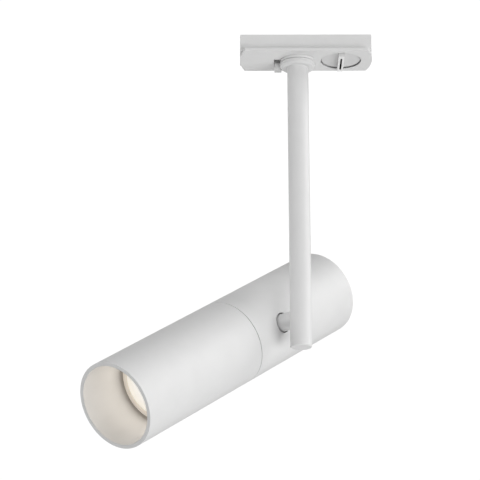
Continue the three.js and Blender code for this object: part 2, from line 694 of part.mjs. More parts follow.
function lampHolder() {
  const { length, width, corner, back, front, screwX } = HOLDER;
  const sockets = [-PIN_SPACING / 2, PIN_SPACING / 2].map((x) =>
    disc(2.8, front - 8.5, front + 1, 14).translate(x, 0, 0),
  );
  const places = [-screwX, screwX];
  const pilots = places.map((x) => disc(1.6, back - 1, back + 8.5, 10).translate(x, 0, 0));
  const block = cut(prism(roundedShape(length, width, corner), back, front, 4), ...sockets, ...pilots);
  const headBack = HOLDER_FLANGE - 1.8;
  const screws = places.map((x, i) => {
    const body = join(disc(2.7, headBack, HOLDER_FLANGE - 0.2, 14), disc(1.3, headBack, back + 7, 8));
    const slot = box([-4, 4], [-0.35, 0.35], [headBack - 1, headBack + 0.7]);
    return mesh(`holder_screw_${i + 1}`, cut(body, slot).translate(x, 0, 0), STEEL);
  });
  return [mesh("lamp_holder", block, CERAMIC), ...screws];
}

function spotLead() {
  const start = AXLE_END - AXLE_OFFSET + 0.6;
  const route = [
    [start, AXLE_DROP, 0],
    [start + 4, AXLE_DROP, 0.3],
    [-5.5, AXLE_DROP / 2, 4],
    [-1.4, 0, 12],
    [0, 0, 25],
    [0, 0, HOLDER_FLANGE + 1.8],
  ];
  const points = route.map(([x, y, z]) => new THREE.Vector3(x, y, z));
  const curve = new THREE.CatmullRomCurve3(points, false, "centripetal");
  return mesh("spot_lead", tubeAlong(curve, LEAD_RADIUS, 24), LEAD_SHEATH);
}

// ---- front tube and lamp: what comes off ----

function frontTube() {
  const body = ring(TUBE_BORE, TUBE_RADIUS, SEAM + SEAM_GAP / 2, TUBE_MOUTH, 72);
  return mesh("front_tube", body, WHITE_PAINT);
}

function lamp() {
  const { base, front, rim, lens, lensBack, lensFront } = LAMP;
  const outline = [
    [0, base],
    [8.6, base],
    [10.2, base + 1.5],
    [10.2, base + 12],
    [16, base + 22],
    [22.2, base + 36],
    [rim, base + 45],
    [rim, front],
    [lens + GAP, front],
    [lens + GAP, lensBack],
    [0, lensBack],
  ];
  const pins = [-PIN_SPACING / 2, PIN_SPACING / 2].map((x, i) => {
    const body = join(disc(1.4, base - 6.5, base - 0.2, 10), disc(2.4, base - 7.2, base - 4.9, 12));
    return mesh(`lamp_pin_${i + 1}`, body.translate(x, 0, 0), STEEL);
  });
  return [
    mesh("lamp_body", turned(outline, 48), LAMP_SHELL),
    mesh("lamp_lens", disc(lens, lensBack + 0.2, lensFront, 48), LAMP_LENS),
    ...pins,
  ];
}

// ---- assembly ----

const spotlight = new THREE.Group();
spotlight.add(
  coverPlate(),
  adapterHousing(),
  ...coverScrews(),
  ...terminals(),
  ...feedStrips(),
  earthContact(),
  adapterLead(),
  panBush(),
  detentSpring(),
  ...latchParts(),
  ...panHardware(),
);

const lock = new THREE.Group();
lock.position.x = KNOB_X;
lock.add(lockKnob(), ...lockLug(), ...contactBlades());
spotlight.add(lock);

// In this group X is the axle's direction, from the rod towards the tube.
const drop = new THREE.Group();
drop.rotation.z = AXLE_HEADING;
drop.add(panCollar(), rodTube(), rodPlug(), stubAxle(), ...tiltHardware(), rodLead());
spotlight.add(drop);

// In this group Z is the beam and Y is down and forwards, square to the beam and the axle.
const tilted = new THREE.Group();
tilted.position.set(AXLE_OFFSET, 0, TILT_AXIS_Z);
tilted.rotation.x = -(Math.PI / 2 + BEAM_DROP);
drop.add(tilted);

const tube = new THREE.Group();
tube.position.y = -AXLE_DROP;
tube.add(
  rearHousing(),
  couplingRing(),
  ...rearCap(),
  chassisBracket(),
  ...lampHolder(),
  spotLead(),
  frontTube(),
  ...lamp(),
);
tilted.add(tube);

export default spotlight;
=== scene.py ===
"""Looks for the track spotlight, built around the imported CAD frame.

Every piece is shaped in millimetres in one of the local frames below, then placed in metres in the
row's frame. Sizes that the CAD model holds are read from its nodes.
"""

import json
from math import asin, cos, hypot, pi, radians, sin, tan

import bmesh
import bpy
from mathutils import Matrix, Vector

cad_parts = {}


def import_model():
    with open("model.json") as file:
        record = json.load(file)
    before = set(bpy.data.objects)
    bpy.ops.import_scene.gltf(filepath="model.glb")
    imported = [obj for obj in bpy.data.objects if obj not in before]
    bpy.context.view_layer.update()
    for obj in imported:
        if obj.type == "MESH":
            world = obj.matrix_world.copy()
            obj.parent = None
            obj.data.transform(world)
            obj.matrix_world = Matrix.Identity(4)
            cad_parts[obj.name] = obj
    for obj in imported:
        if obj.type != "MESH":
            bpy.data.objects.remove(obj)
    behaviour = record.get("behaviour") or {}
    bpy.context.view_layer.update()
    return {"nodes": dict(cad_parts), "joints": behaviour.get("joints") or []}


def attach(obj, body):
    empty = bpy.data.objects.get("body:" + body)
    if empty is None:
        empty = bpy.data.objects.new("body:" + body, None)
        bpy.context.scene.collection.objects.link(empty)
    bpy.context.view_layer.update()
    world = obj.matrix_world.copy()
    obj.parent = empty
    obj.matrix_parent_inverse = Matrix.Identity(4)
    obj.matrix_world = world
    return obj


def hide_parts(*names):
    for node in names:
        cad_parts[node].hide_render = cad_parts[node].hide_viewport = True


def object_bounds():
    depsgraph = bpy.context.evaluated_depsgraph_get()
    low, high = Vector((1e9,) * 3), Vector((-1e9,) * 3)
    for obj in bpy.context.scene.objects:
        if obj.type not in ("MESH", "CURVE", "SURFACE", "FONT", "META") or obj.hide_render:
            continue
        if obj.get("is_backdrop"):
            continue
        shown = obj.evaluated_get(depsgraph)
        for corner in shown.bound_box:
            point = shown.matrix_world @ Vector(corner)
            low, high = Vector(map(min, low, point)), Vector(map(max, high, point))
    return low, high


MM = 0.001
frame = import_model()

# ---- local frames, in millimetres ----

JOINTS = {joint["name"]: joint for joint in frame["joints"]}
AXLE_DIRECTION = Vector(JOINTS["tilt"]["axis"]).normalized()  # from the rod towards the tube
BEAM = Vector(JOINTS["front_tube_off"]["axis"]).normalized()
TILT_CENTRE = Vector(JOINTS["tilt"]["pos_m"]) / MM
KNOB_CENTRE = Vector(JOINTS["lock_turn"]["pos_m"]) / MM
UP = Vector((0, 0, 1))


def local_frame(origin, x_axis, z_axis):
    """A frame from its origin and two of its axes."""
    turn = Matrix((x_axis, z_axis.cross(x_axis), z_axis)).transposed()
    return Matrix.Translation(origin) @ turn.to_4x4()


def extent(node, place):
    """Lowest and highest corner of a CAD node in a local frame."""
    back = place.inverted()
    corners = [back @ (v.co / MM) for v in frame["nodes"][node].data.vertices]
    low = Vector([min(c[i] for c in corners) for i in range(3)])
    high = Vector([max(c[i] for c in corners) for i in range(3)])
    return low, high


def middle(node, place):
    """The middle of a CAD node's box in a local frame."""
    low, high = extent(node, place)
    return (low + high) / 2


def tube_centre():
    """Where the tube's axis passes the tilt axis."""
    beside = local_frame(TILT_CENTRE, AXLE_DIRECTION, BEAM)
    centre = middle("front_tube", beside)
    return beside @ Vector((centre.x, centre.y, 0))


ROW = Matrix.Identity(4)
DROP = local_frame(Vector(), AXLE_DIRECTION, UP)  # X along the axle, Z up
AXLE = local_frame(TILT_CENTRE, -UP, AXLE_DIRECTION)  # Z along the axle
TUBE = local_frame(tube_centre(), AXLE_DIRECTION, BEAM)  # Z along the beam
KNOB = Matrix.Translation(KNOB_CENTRE)

# ---- mesh helpers ----

GAP = 0.3  # clearance between neighbouring pieces
OVERLAP = 0.2  # how far a piece goes into another that it is joined to
FAR = 60  # past everything that a cutting tool has to clear
PAST = 1  # how far a shorter cutting tool stands out of the face that it enters
SIDE_SHARE = 0.45  # the most of a side that one rounded corner takes


def object_of(name, bm):
    """A new object from a bmesh, with its faces pointing out."""
    bmesh.ops.recalc_face_normals(bm, faces=bm.faces)
    mesh = bpy.data.meshes.new(name)
    bm.to_mesh(mesh)
    bm.free()
    obj = bpy.data.objects.new(name, mesh)
    bpy.context.scene.collection.objects.link(obj)
    return obj


def rounded(points, radius, closed=True, steps=4):
    """The outline with each corner rounded. A point may carry its own radius as a third number."""
    result = []
    for i, point in enumerate(points):
        here = Vector(point[:2])
        fillet = point[2] if len(point) > 2 else radius
        at_end = not closed and i in (0, len(points) - 1)
        if fillet == 0 or at_end:
            result.append(here)
            continue
        to_last = Vector(points[i - 1][:2]) - here
        to_next = Vector(points[(i + 1) % len(points)][:2]) - here
        reach = fillet / tan(to_last.angle(to_next) / 2)
        reach = min(reach, SIDE_SHARE * to_last.length, SIDE_SHARE * to_next.length)
        start = here + to_last.normalized() * reach
        end = here + to_next.normalized() * reach
        for k in range(steps + 1):
            t = k / steps
            result.append(start * (1 - t) ** 2 + here * 2 * t * (1 - t) + end * t**2)
    return result


def lathe(name, outline, soft=0.2, sides=128, wobble=None):
    """A solid of revolution about Z. The outline is a list of (radius, height) that is closed by its
    first point, or starts and ends on the axis. wobble changes a radius by its angle and height."""
    on_axis = outline[0][0] == 0
    profile = rounded(outline, soft, closed=not on_axis)
    bm = bmesh.new()
    rings = []
    for r, z in profile:
        if r == 0:
            rings.append([bm.verts.new((0, 0, z))])
            continue
        ring = []
        for k in range(sides):
            angle = 2 * pi * k / sides
            reach = wobble(r, z, angle) if wobble else r
            ring.append(bm.verts.new((reach * cos(angle), reach * sin(angle), z)))
        rings.append(ring)
    pairs = list(zip(rings, rings[1:]))
    if not on_axis:
        pairs.append((rings[-1], rings[0]))
    for a, b in pairs:
        for k in range(sides):
            n = (k + 1) % sides
            corners = [a[k % len(a)], a[n % len(a)], b[n % len(b)], b[k % len(b)]]
            corners = list(dict.fromkeys(corners))
            if len(corners) > 2:
                bm.faces.new(corners)
    return object_of(name, bm)


def slab(name, outline, z0, z1):
    """An upright prism on an outline of (x, y)."""
    bm = bmesh.new()
    foot = [bm.verts.new((x, y, z0)) for x, y in outline]
    head = [bm.verts.new((x, y, z1)) for x, y in outline]
    bm.faces.new(foot)
    bm.faces.new(head)
    for i in range(len(foot)):
        n = (i + 1) % len(foot)
        bm.faces.new([foot[i], foot[n], head[n], head[i]])
    return object_of(name, bm)


def block(name, low, high):
    """A box between two corners."""
    outline = [(low[0], low[1]), (high[0], low[1]), (high[0], high[1]), (low[0], high[1])]
    return slab(name, outline, low[2], high[2])


def rounded_rectangle(length, width, corner, steps=6):
    """The outline of a rectangle about the origin, along X and Y."""
    x, y = length / 2, width / 2
    return rounded([(-x, -y), (x, -y), (x, y), (-x, y)], corner, steps=steps)


def drum(name, radius, z0, z1, x=0, y=0, sides=96):
    """A plain cylinder, used for cutting."""
    outline = [
        (x + radius * cos(2 * pi * k / sides), y + radius * sin(2 * pi * k / sides))
        for k in range(sides)
    ]
    return slab(name, outline, z0, z1)


def turned_to_x(obj):
    """Turns a shape about Z into one about X."""
    obj.data.transform(Matrix.Rotation(pi / 2, 4, "Y"))
    return obj


def moved(obj, x=0, y=0, z=0):
    """Shifts a shape in its own frame."""
    obj.data.transform(Matrix.Translation((x, y, z)))
    return obj


def bake(obj):
    """Applies the object's modifiers to its mesh."""
    graph = bpy.context.evaluated_depsgraph_get()
    mesh = bpy.data.meshes.new_from_object(obj.evaluated_get(graph))
    obj.modifiers.clear()
    obj.data = mesh
    return obj


def combine(base, tools, operation):
    """Cuts each tool from the base, or joins it to the base, and removes the tool."""
    for tool in tools:
        modifier = base.modifiers.new(operation, "BOOLEAN")
        modifier.object = tool
        modifier.operation = operation
        modifier.solver = "EXACT"
        bake(base)
        bpy.data.objects.remove(tool)
    return base


def cut(base, *tools):
    return combine(base, tools, "DIFFERENCE")


def join(base, *tools):
    return combine(base, tools, "UNION")


def soften(obj, width, segments=3, angle=40):
    """Rounds every edge sharper than the angle."""
    modifier = obj.modifiers.new("edges", "BEVEL")
    modifier.width = width
    modifier.segments = segments
    modifier.limit_method = "ANGLE"
    modifier.angle_limit = radians(angle)
    return bake(obj)


def shade(obj, angle=32):
    """Smooth shading that keeps flat faces flat."""
    obj.data.shade_smooth()
    obj.data.set_sharp_from_angle(angle=radians(angle))
    normals = obj.modifiers.new("normals", "WEIGHTED_NORMAL")
    normals.keep_sharp = True
    normals.weight = 100


def settle(obj, place, body, look, slot, *nodes):
    """Places a finished piece in the row's frame and hands it to its body in place of CAD nodes."""
    obj.data.transform(Matrix.Scale(MM, 4) @ place)
    shade(obj)
    obj.data.materials.clear()
    obj.data.materials.append(look)
    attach(obj, body)
    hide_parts(*nodes)
    return obj


def paint(obj, place, look, chosen):
    """Gives another material to the faces that chosen picks by centre and normal in a local frame. Here
    that material is painted shade, painted shadow or a painted highlight.
    """
    obj.data.materials.append(look)
    index = len(obj.data.materials) - 1
    back = place.inverted()
    turn = back.to_3x3()
    for face in obj.data.polygons:
        if chosen(back @ (face.center / MM), turn @ face.normal):
            face.material_index = index


# ---- materials ----

DRIFT_GRAINS = 30  # how many grains wide a patch of colour is
POLISH_GRAINS = 12  # the same for a patch of gloss
POLISH_SPREAD = 0.05


def surface(name, color, roughness, metallic=0.0, grain=0.3, depth=0.01, mottle=0.012, streak=None):
    """A procedural finish. grain is the size of its texture and depth its height, in millimetres.
    mottle is how far its colour drifts, and streak squeezes the texture along one axis."""
    look = bpy.data.materials.new(name)
    look.use_nodes = True
    nodes, links = look.node_tree.nodes, look.node_tree.links
    shader = nodes["Principled BSDF"]
    shader.inputs["Metallic"].default_value = metallic
    place = nodes.new("ShaderNodeTexCoord").outputs["Object"]
    if streak:
        squeeze = nodes.new("ShaderNodeMapping")
        squeeze.inputs["Scale"].default_value = streak
        links.new(place, squeeze.inputs["Vector"])
        place = squeeze.outputs["Vector"]

    def noise(size, detail):
        node = nodes.new("ShaderNodeTexNoise")
        node.inputs["Scale"].default_value = 1 / (size * MM)
        node.inputs["Detail"].default_value = detail
        links.new(place, node.inputs["Vector"])
        return node.outputs["Fac"]

    drift = nodes.new("ShaderNodeValToRGB")
    light, dark = drift.color_ramp.elements[1], drift.color_ramp.elements[0]
    dark.position, light.position = 0.3, 0.7
    dark.color = [c * (1 - mottle) for c in color] + [1]
    light.color = [min(1, c * (1 + mottle)) for c in color] + [1]
    links.new(noise(grain * DRIFT_GRAINS, 3), drift.inputs["Fac"])
    links.new(drift.outputs["Color"], shader.inputs["Base Color"])

    polish = nodes.new("ShaderNodeMapRange")
    polish.inputs["To Min"].default_value = roughness - POLISH_SPREAD
    polish.inputs["To Max"].default_value = roughness + POLISH_SPREAD
    links.new(noise(grain * POLISH_GRAINS, 2), polish.inputs["Value"])
    links.new(polish.outputs["Result"], shader.inputs["Roughness"])

    bump = nodes.new("ShaderNodeBump")
    bump.inputs["Strength"].default_value = 0.6
    bump.inputs["Distance"].default_value = depth * MM
    links.new(noise(grain, 2), bump.inputs["Height"])
    links.new(bump.outputs["Normal"], shader.inputs["Normal"])
    return look


def glow(look, color, strength):
    """The same glow all over a finish."""
    shader = look.node_tree.nodes["Principled BSDF"]
    shader.inputs["Emission Color"].default_value = (*color, 1)
    shader.inputs["Emission Strength"].default_value = strength
    return look


def round_glow(look, centre, radius, colors):
    """A glow that runs through the colours from the centre of a round face to its edge."""
    nodes, links = look.node_tree.nodes, look.node_tree.links
    reach = nodes.new("ShaderNodeVectorMath")
    reach.operation = "DISTANCE"
    reach.inputs[1].default_value = centre * MM
    links.new(nodes.new("ShaderNodeTexCoord").outputs["Object"], reach.inputs[0])
    share = nodes.new("ShaderNodeMapRange")
    share.inputs["From Max"].default_value = radius * MM
    links.new(reach.outputs["Value"], share.inputs["Value"])
    ramp = nodes.new("ShaderNodeValToRGB")
    ramp.color_ramp.interpolation = "EASE"
    stops = ramp.color_ramp.elements
    while len(stops) < len(colors):
        stops.new(0.5)
    for i, color in enumerate(colors):
        stops[i].position = i / (len(colors) - 1)
        stops[i].color = (*color, 1)
    links.new(share.outputs["Result"], ramp.inputs["Fac"])
    shader = nodes["Principled BSDF"]
    links.new(ramp.outputs["Color"], shader.inputs["Emission Color"])
    shader.inputs["Emission Strength"].default_value = 1
    return look


PAINT = surface("white_powder_coat", (0.80, 0.80, 0.798), 0.5, grain=0.45, depth=0.012)
# painted shade and painted light: a darker, warmer white inside the bore, for the shade deep in the tube
# and the lamp's warm light on it
BORE_PAINTED_SHADE = surface("bore_painted_shade", (0.625, 0.612, 0.594), 0.6, grain=0.45, depth=0.012)
PLASTIC = surface("white_moulded_plastic", (0.80, 0.80, 0.797), 0.52, grain=0.2, depth=0.006)
# painted shade: a greyer white for the knob, for the shade on its recessed disc
KNOB_PLASTIC_PAINTED_SHADE = surface("white_plastic_painted_shade", (0.73, 0.73, 0.728), 0.52, grain=0.2, depth=0.006)
# painted highlight: a brighter white for the grip's lower faces, for the light that they catch
GRIP_PAINTED_HIGHLIGHT = surface("grip_painted_highlight", (0.95, 0.95, 0.947), 0.4, grain=0.2, depth=0.006)
# painted shadow: a near black that stands in for the deep shade in the coin slot and the axle hole
SHADOW = surface("painted_shadow_recess", (0.012, 0.012, 0.013), 0.8, grain=0.2, depth=0.006, mottle=0.1)
# painted shade: a mid grey that stands in for the shade in the knob's recess
HALF_SHADOW = surface("painted_shade_recess", (0.5, 0.5, 0.5), 0.8, grain=0.2, depth=0.006, mottle=0.05)
STEEL = surface("zinc_plated_steel", (0.60, 0.61, 0.63), 0.36, 1.0, grain=0.3, depth=0.006, mottle=0.05)
ALUMINIUM = surface("turned_aluminium", (0.78, 0.79, 0.80), 0.33, 1.0, grain=0.25, depth=0.004,
                    mottle=0.03)
BRASS = surface("brass", (0.72, 0.53, 0.24), 0.32, 1.0, grain=0.3, depth=0.004, mottle=0.06,
                streak=(0.15, 1, 1))
FIBRE = surface("fibre_washer", (0.10, 0.07, 0.05), 0.85, grain=0.15, depth=0.02, mottle=0.15)
DARK_PLASTIC = surface("dark_plastic", (0.035, 0.036, 0.038), 0.5, grain=0.2, depth=0.008, mottle=0.08)
CERAMIC = surface("steatite", (0.76, 0.73, 0.66), 0.6, grain=0.25, depth=0.012, mottle=0.04)
# painted light: a faint warm glow on the lamp's shell, which gives off no light itself, to lighten and
# warm its rim
LAMP_SHELL_PAINTED_GLOW = glow(
    surface("lamp_shell", (0.80, 0.76, 0.70), 0.4, grain=0.25, depth=0.004),
    (1.0, 0.88, 0.74),
    0.19,
)
LAMP_LENS = surface("lamp_lens", (0.78, 0.76, 0.72), 0.35, grain=1.4, depth=0.03, mottle=0.02)
SHEATH = surface("lead_sheath", (0.75, 0.75, 0.74), 0.45, grain=0.3, depth=0.006)

# ---- adapter ----

COVER_SCREWS = [f"cover_screw_{i}" for i in (1, 2, 3, 4)]
NIPPLE_HOLE_RADIUS = 5.3  # clears the threaded nipple that the rod turns on
PLATE_END_RISE = 3.4
PLATE_END_STEPS = 28
PLATE_EDGE = 0.16
GROOVES = (12.1, 14.3)  # between the plate's middle and its side strips
GROOVE_FLOOR = -0.3
KNOB_HOLE_RADIUS = 14.3
KNOB_UNDERCUT_RADIUS = 15.4  # the hole widens behind a thin lip
KNOB_UNDERCUT_LIP = 0.4
KNOB_LIP_RADIUS = 11  # the ledge over the knob's rim
KNOB_LIP_FOOT = -0.6
BUSH_HOLE_RADIUS = 7.3
POST_RADIUS = 2.4
TAB_LEFT, TAB_RIGHT = -16.4, -11.35
TAB_FRONT = 3.4
TAB_GAP = 0.2  # between the tab and the plate's face
TAB_SLOT_FRONT = -2.4
TAB_CLEARANCE = 12.65  # the finger is hollowed to pass the pan collar
RAIL_INSET = 0.1
STEM_FRONT = 6.4
SLIDER_BACK = 8.2
SLIDER_FLOOR = 1.6
SLIDER_EDGE = 0.25
HOUSING_WALL = 1.6
HOUSING_ROOF = 1.8
HOUSING_CORNER = 0.7
HOUSING_EDGE = 0.22
END_RELIEF_FOOT = -5  # the end walls stop just short of the plate
SHAFT_HOLE_RADIUS = 4.3
WINDOW_START = 8  # in the hollow, short of the back wall
EARTH_WINDOW_INSET = 0.8
SCREW_SEAT_RADIUS = 2.5
SCREW_SEAT_DEPTH = 1.1
SCREW_HOLE_RADIUS = 1.35
SCREW_HOLE_FOOT = 5
BUSH_NECK_RADIUS = 7
BUSH_FLANGE = 1.8
PICK_SLACK = 0.1  # how far past a size a face may be when it is picked for painted shade or a painted highlight


def plate_outline(low, high):
    """A strip with an arc over the whole width of each end."""
    half = high.y
    radius = (half**2 + PLATE_END_RISE**2) / (2 * PLATE_END_RISE)
    sweep = asin(half / radius)
    turns = [sweep * (2 * k / PLATE_END_STEPS - 1) for k in range(PLATE_END_STEPS + 1)]
    right = [(high.x - radius + radius * cos(a), radius * sin(a)) for a in turns]
    left = [(low.x + radius - radius * cos(a), -radius * sin(a)) for a in turns]
    return right + left


def knob_drum(radius, z0, z1, sides=160):
    """A cutting drum on the knob's axis."""
    return moved(drum("knob_drum", radius, z0, z1, sides=sides), KNOB_CENTRE.x)


def cover_plate():
    low, high = extent("cover_plate", ROW)
    plate = slab("cover_plate_skin", plate_outline(low, high), low.z, 0)
    inner, outer = GROOVES
    cut(
        plate,
        block("groove", (-FAR, -outer, GROOVE_FLOOR), (FAR, -inner, PAST)),
        block("groove", (-FAR, inner, GROOVE_FLOOR), (FAR, outer, PAST)),
        drum("bush_hole", BUSH_HOLE_RADIUS, -FAR, FAR),
        knob_drum(KNOB_HOLE_RADIUS, -FAR, KNOB_LIP_FOOT),
        knob_drum(KNOB_UNDERCUT_RADIUS, low.z + KNOB_UNDERCUT_LIP, KNOB_LIP_FOOT),
        knob_drum(KNOB_LIP_RADIUS, -FAR, FAR, sides=96),
        tab_slot(),
    )
    soften(plate, PLATE_EDGE)
    for screw in COVER_SCREWS:
        x, y, _ = middle(screw, ROW)
        join(plate, drum("post", POST_RADIUS, low.z / 2, high.z, x, y, sides=32))
    settle(plate, ROW, "adapter", PLASTIC, "white_plastic", "cover_plate")

    # Painted shade: the walls and ceiling of the knob's recess go grey, for the shade that falls in it.
    rounded_edge = low.z + 0.12  # stays white

    def in_knob_recess(centre, normal):
        near = hypot(centre.x - KNOB_CENTRE.x, centre.y) < KNOB_UNDERCUT_RADIUS + PICK_SLACK
        return near and rounded_edge < centre.z < KNOB_LIP_FOOT + PICK_SLACK

    paint(plate, ROW, HALF_SHADOW, in_knob_recess)


def tab_slot():
    """The slot in the plate that the tab moves in."""
    travel = JOINTS["latch_slide"]["range_m"][1] / MM
    return block(
        "tab_slot",
        (TAB_LEFT - GAP, TAB_SLOT_FRONT, -FAR),
        (TAB_RIGHT + GAP, SLIDER_BACK + travel + GAP, FAR),
    )


def adapter_housing():
    low, high = extent("adapter_housing", ROW)
    outline = rounded_rectangle(high.x - low.x, high.y - low.y, HOUSING_CORNER)
    shell = moved(slab("adapter_housing_skin", outline, low.z, high.z), (low.x + high.x) / 2)
    front, back = low.y + HOUSING_WALL, high.y - HOUSING_WALL
    bolt_low, bolt_high = extent("latch_bolt", ROW)
    earth_low, earth_high = extent("earth_contact", ROW)
    cut(
        shell,
        block("inside", (low.x + HOUSING_WALL, front, -FAR),
              (high.x - HOUSING_WALL, back, high.z - HOUSING_ROOF)),
        block("end_relief", (-FAR, front, END_RELIEF_FOOT), (FAR, back, GAP)),
        drum("shaft_hole", SHAFT_HOLE_RADIUS, 0, FAR, KNOB_CENTRE.x),
        block("bolt_slot", (bolt_low.x - GAP, WINDOW_START, bolt_low.z - GAP),
              (bolt_high.x + GAP, FAR, bolt_high.z + GAP)),
        block("earth_window", (earth_low.x + EARTH_WINDOW_INSET, WINDOW_START, earth_low.z - GAP),
              (earth_high.x - EARTH_WINDOW_INSET, FAR, earth_high.z + GAP)),
    )
    for screw in COVER_SCREWS:
        x, y, _ = middle(screw, ROW)
        cut(shell, drum("screw_seat", SCREW_SEAT_RADIUS, high.z - SCREW_SEAT_DEPTH, FAR, x, y, sides=48))
        cut(shell, drum("screw_hole", SCREW_HOLE_RADIUS, SCREW_HOLE_FOOT, FAR, x, y, sides=32))
    soften(shell, HOUSING_EDGE)
    settle(shell, ROW, "adapter", PLASTIC, "white_plastic", "adapter_housing")


SCREW_DOME = 0.18  # how far the edge of a head sits under its middle
SCREW_FLAT = 0.6  # the share of a radius that stays flat
DRIVER_SLOT_SHARE = 0.55  # of the head's height


def slotted_screw(node, place, body, look, slot, head, shank, head_height, slot_width, facing=1):
    """A screw with a low domed head and a straight slot. facing is the way its head points on Z."""
    low, high = extent(node, place)
    centre = (low + high) / 2
    top, foot = (high.z, low.z) if facing > 0 else (low.z, high.z)
    under = top - facing * head_height
    outline = [(0, top), (head * SCREW_FLAT, top, 1), (head, top - facing * SCREW_DOME, 0.15),
               (head, under), (shank, under), (shank, foot + facing * shank * (1 - SCREW_FLAT)),
               (shank * SCREW_FLAT, foot), (0, foot)]
    screw = lathe(node + "_skin", outline, soft=0.06, sides=48)
    half = slot_width / 2
    depth = head_height * DRIVER_SLOT_SHARE
    bottom, over = sorted((top - facing * depth, top + facing * 2 * PAST))
    cut(screw, block("driver_slot", (-FAR, -half, bottom), (FAR, half, over)))
    moved(screw, centre.x, centre.y)
    settle(screw, place, body, look, slot, node)


def adapter_screws():
    for screw in COVER_SCREWS:
        slotted_screw(screw, ROW, "adapter", STEEL, "steel",
                      head=2.2, shank=1.05, head_height=0.9, slot_width=0.6)
    for i in (1, 2, 3):
        slotted_screw(f"terminal_screw_{i}", ROW, "adapter", BRASS, "brass",
                      head=1.5, shank=1.3, head_height=1, slot_width=0.5)


def pan_bush():
    low, high = extent("pan_bush", DROP)
    bore, neck = NIPPLE_HOLE_RADIUS, BUSH_NECK_RADIUS
    under, face = low.z, low.z + BUSH_FLANGE
    bush = lathe(
        "pan_bush_skin",
        [(bore, under), (high.x, under, 0.25), (high.x, face, 0.15), (neck, face), (neck, high.z),
         (bore, high.z)],
        soft=0.1,
    )
    settle(bush, DROP, "adapter", PLASTIC, "white_plastic", "pan_bush")


def latch():
    low, high = extent("latch_slider", ROW)
    tab_top = extent("cover_plate", ROW)[0].z - TAB_GAP
    tab = block("latch_slider_skin", (TAB_LEFT, TAB_FRONT, low.z), (TAB_RIGHT, high.y, tab_top))
    cut(tab, drum("collar_clearance", TAB_CLEARANCE, -FAR, tab_top + PAST, sides=128))
    rail_top = SLIDER_FLOOR + OVERLAP
    join(
        tab,
        block("stem", (TAB_LEFT, STEM_FRONT, tab_top - OVERLAP), (TAB_RIGHT, SLIDER_BACK, rail_top)),
        block("bar", (low.x, low.y, SLIDER_FLOOR), (high.x, SLIDER_BACK, high.z)),
        block("left_rail", (low.x, low.y, GAP), (TAB_LEFT - RAIL_INSET, SLIDER_BACK, rail_top)),
        block("right_rail", (TAB_RIGHT + RAIL_INSET, low.y, GAP), (high.x, SLIDER_BACK, rail_top)),
    )
    soften(tab, SLIDER_EDGE)
    settle(tab, ROW, "latch", PLASTIC, "white_plastic", "latch_slider")
    soften_node("latch_bolt", 0.2, STEEL)


# ---- turning lock ----

GRIP_WIDTH = 4.2
GRIP_LENGTH = 27
GRIP_DROP = 3.45
GRIP_ROUNDING = 0.3
RIM_THICK = 0.5
KNOB_EDGE = 0.12
DISC_TOP = 1.2
BOSS_RADIUS, BOSS_TOP = 5, 9.8
SHAFT_RADIUS, SHAFT_TOP = 4, 12.1
SQUARE_HALF_WIDTH = 2.4  # the square end of the shaft, which the lug sits on
SQUARE_FOOT = 11
LUG_CORNER = 2
LUG_EDGE = 0.25
LUG_SCREW_HOLE_RADIUS = 1.5
LUG_SCREW_HOLE_FOOT = 5.5
COIN_SLOT = (1.3, 19.3, 5)  # width, length and depth


def square_bar(name, half, z0, z1):
    """A square bar on the Z axis."""
    return block(name, (-half, -half, z0), (half, half, z1))


def lock_knob():
    low, high = extent("lock_knob", KNOB)
    face = low.z + GRIP_DROP
    rim_top = face + RIM_THICK
    lip = KNOB_LIP_RADIUS - GAP
    knob = lathe(
        "lock_knob_skin",
        [(0, face), (high.x, face, 0.3), (high.x, rim_top, 0.1), (lip, rim_top), (lip, DISC_TOP),
         (BOSS_RADIUS, DISC_TOP), (BOSS_RADIUS, BOSS_TOP), (SHAFT_RADIUS, BOSS_TOP),
         (SHAFT_RADIUS, SHAFT_TOP), (0, SHAFT_TOP)],
        soft=0.1,
        sides=160,
    )
    half = GRIP_WIDTH / 2
    grip = block("grip", (-half, -GRIP_LENGTH / 2, low.z), (half, GRIP_LENGTH / 2, rim_top - OVERLAP))
    drive = square_bar("drive", SQUARE_HALF_WIDTH, SQUARE_FOOT, high.z)
    width, length, depth = COIN_SLOT
    slot = block("coin_slot", (-width / 2, -length / 2, low.z - PAST),
                 (width / 2, length / 2, low.z + depth))
    soften(grip, GRIP_ROUNDING)
    join(knob, grip, drive)
    cut(knob, slot, drum("screw_hole", LUG_SCREW_HOLE_RADIUS, LUG_SCREW_HOLE_FOOT, FAR, sides=32))
    soften(knob, KNOB_EDGE, segments=2, angle=50)
    # The knob's greyer white is painted shade for its recessed disc.
    settle(knob, KNOB, "lock", KNOB_PLASTIC_PAINTED_SHADE, "white_plastic", "lock_knob")

    slot_edge = low.z + 0.15  # stays bright

    def on_grip(centre, normal):
        return normal.z < -0.7 and centre.z < low.z + GRIP_ROUNDING

    def in_slot(centre, normal):
        sideways = abs(centre.x) < width / 2 + PICK_SLACK and abs(centre.y) < length / 2 + PICK_SLACK
        return sideways and slot_edge < centre.z < low.z + depth + PICK_SLACK

    # Painted highlight: the grip's downward faces get a brighter white, for the light that they catch.
    paint(knob, KNOB, GRIP_PAINTED_HIGHLIGHT, on_grip)
    # Painted shadow: the coin slot's walls and floor go near black.
    paint(knob, KNOB, SHADOW, in_slot)


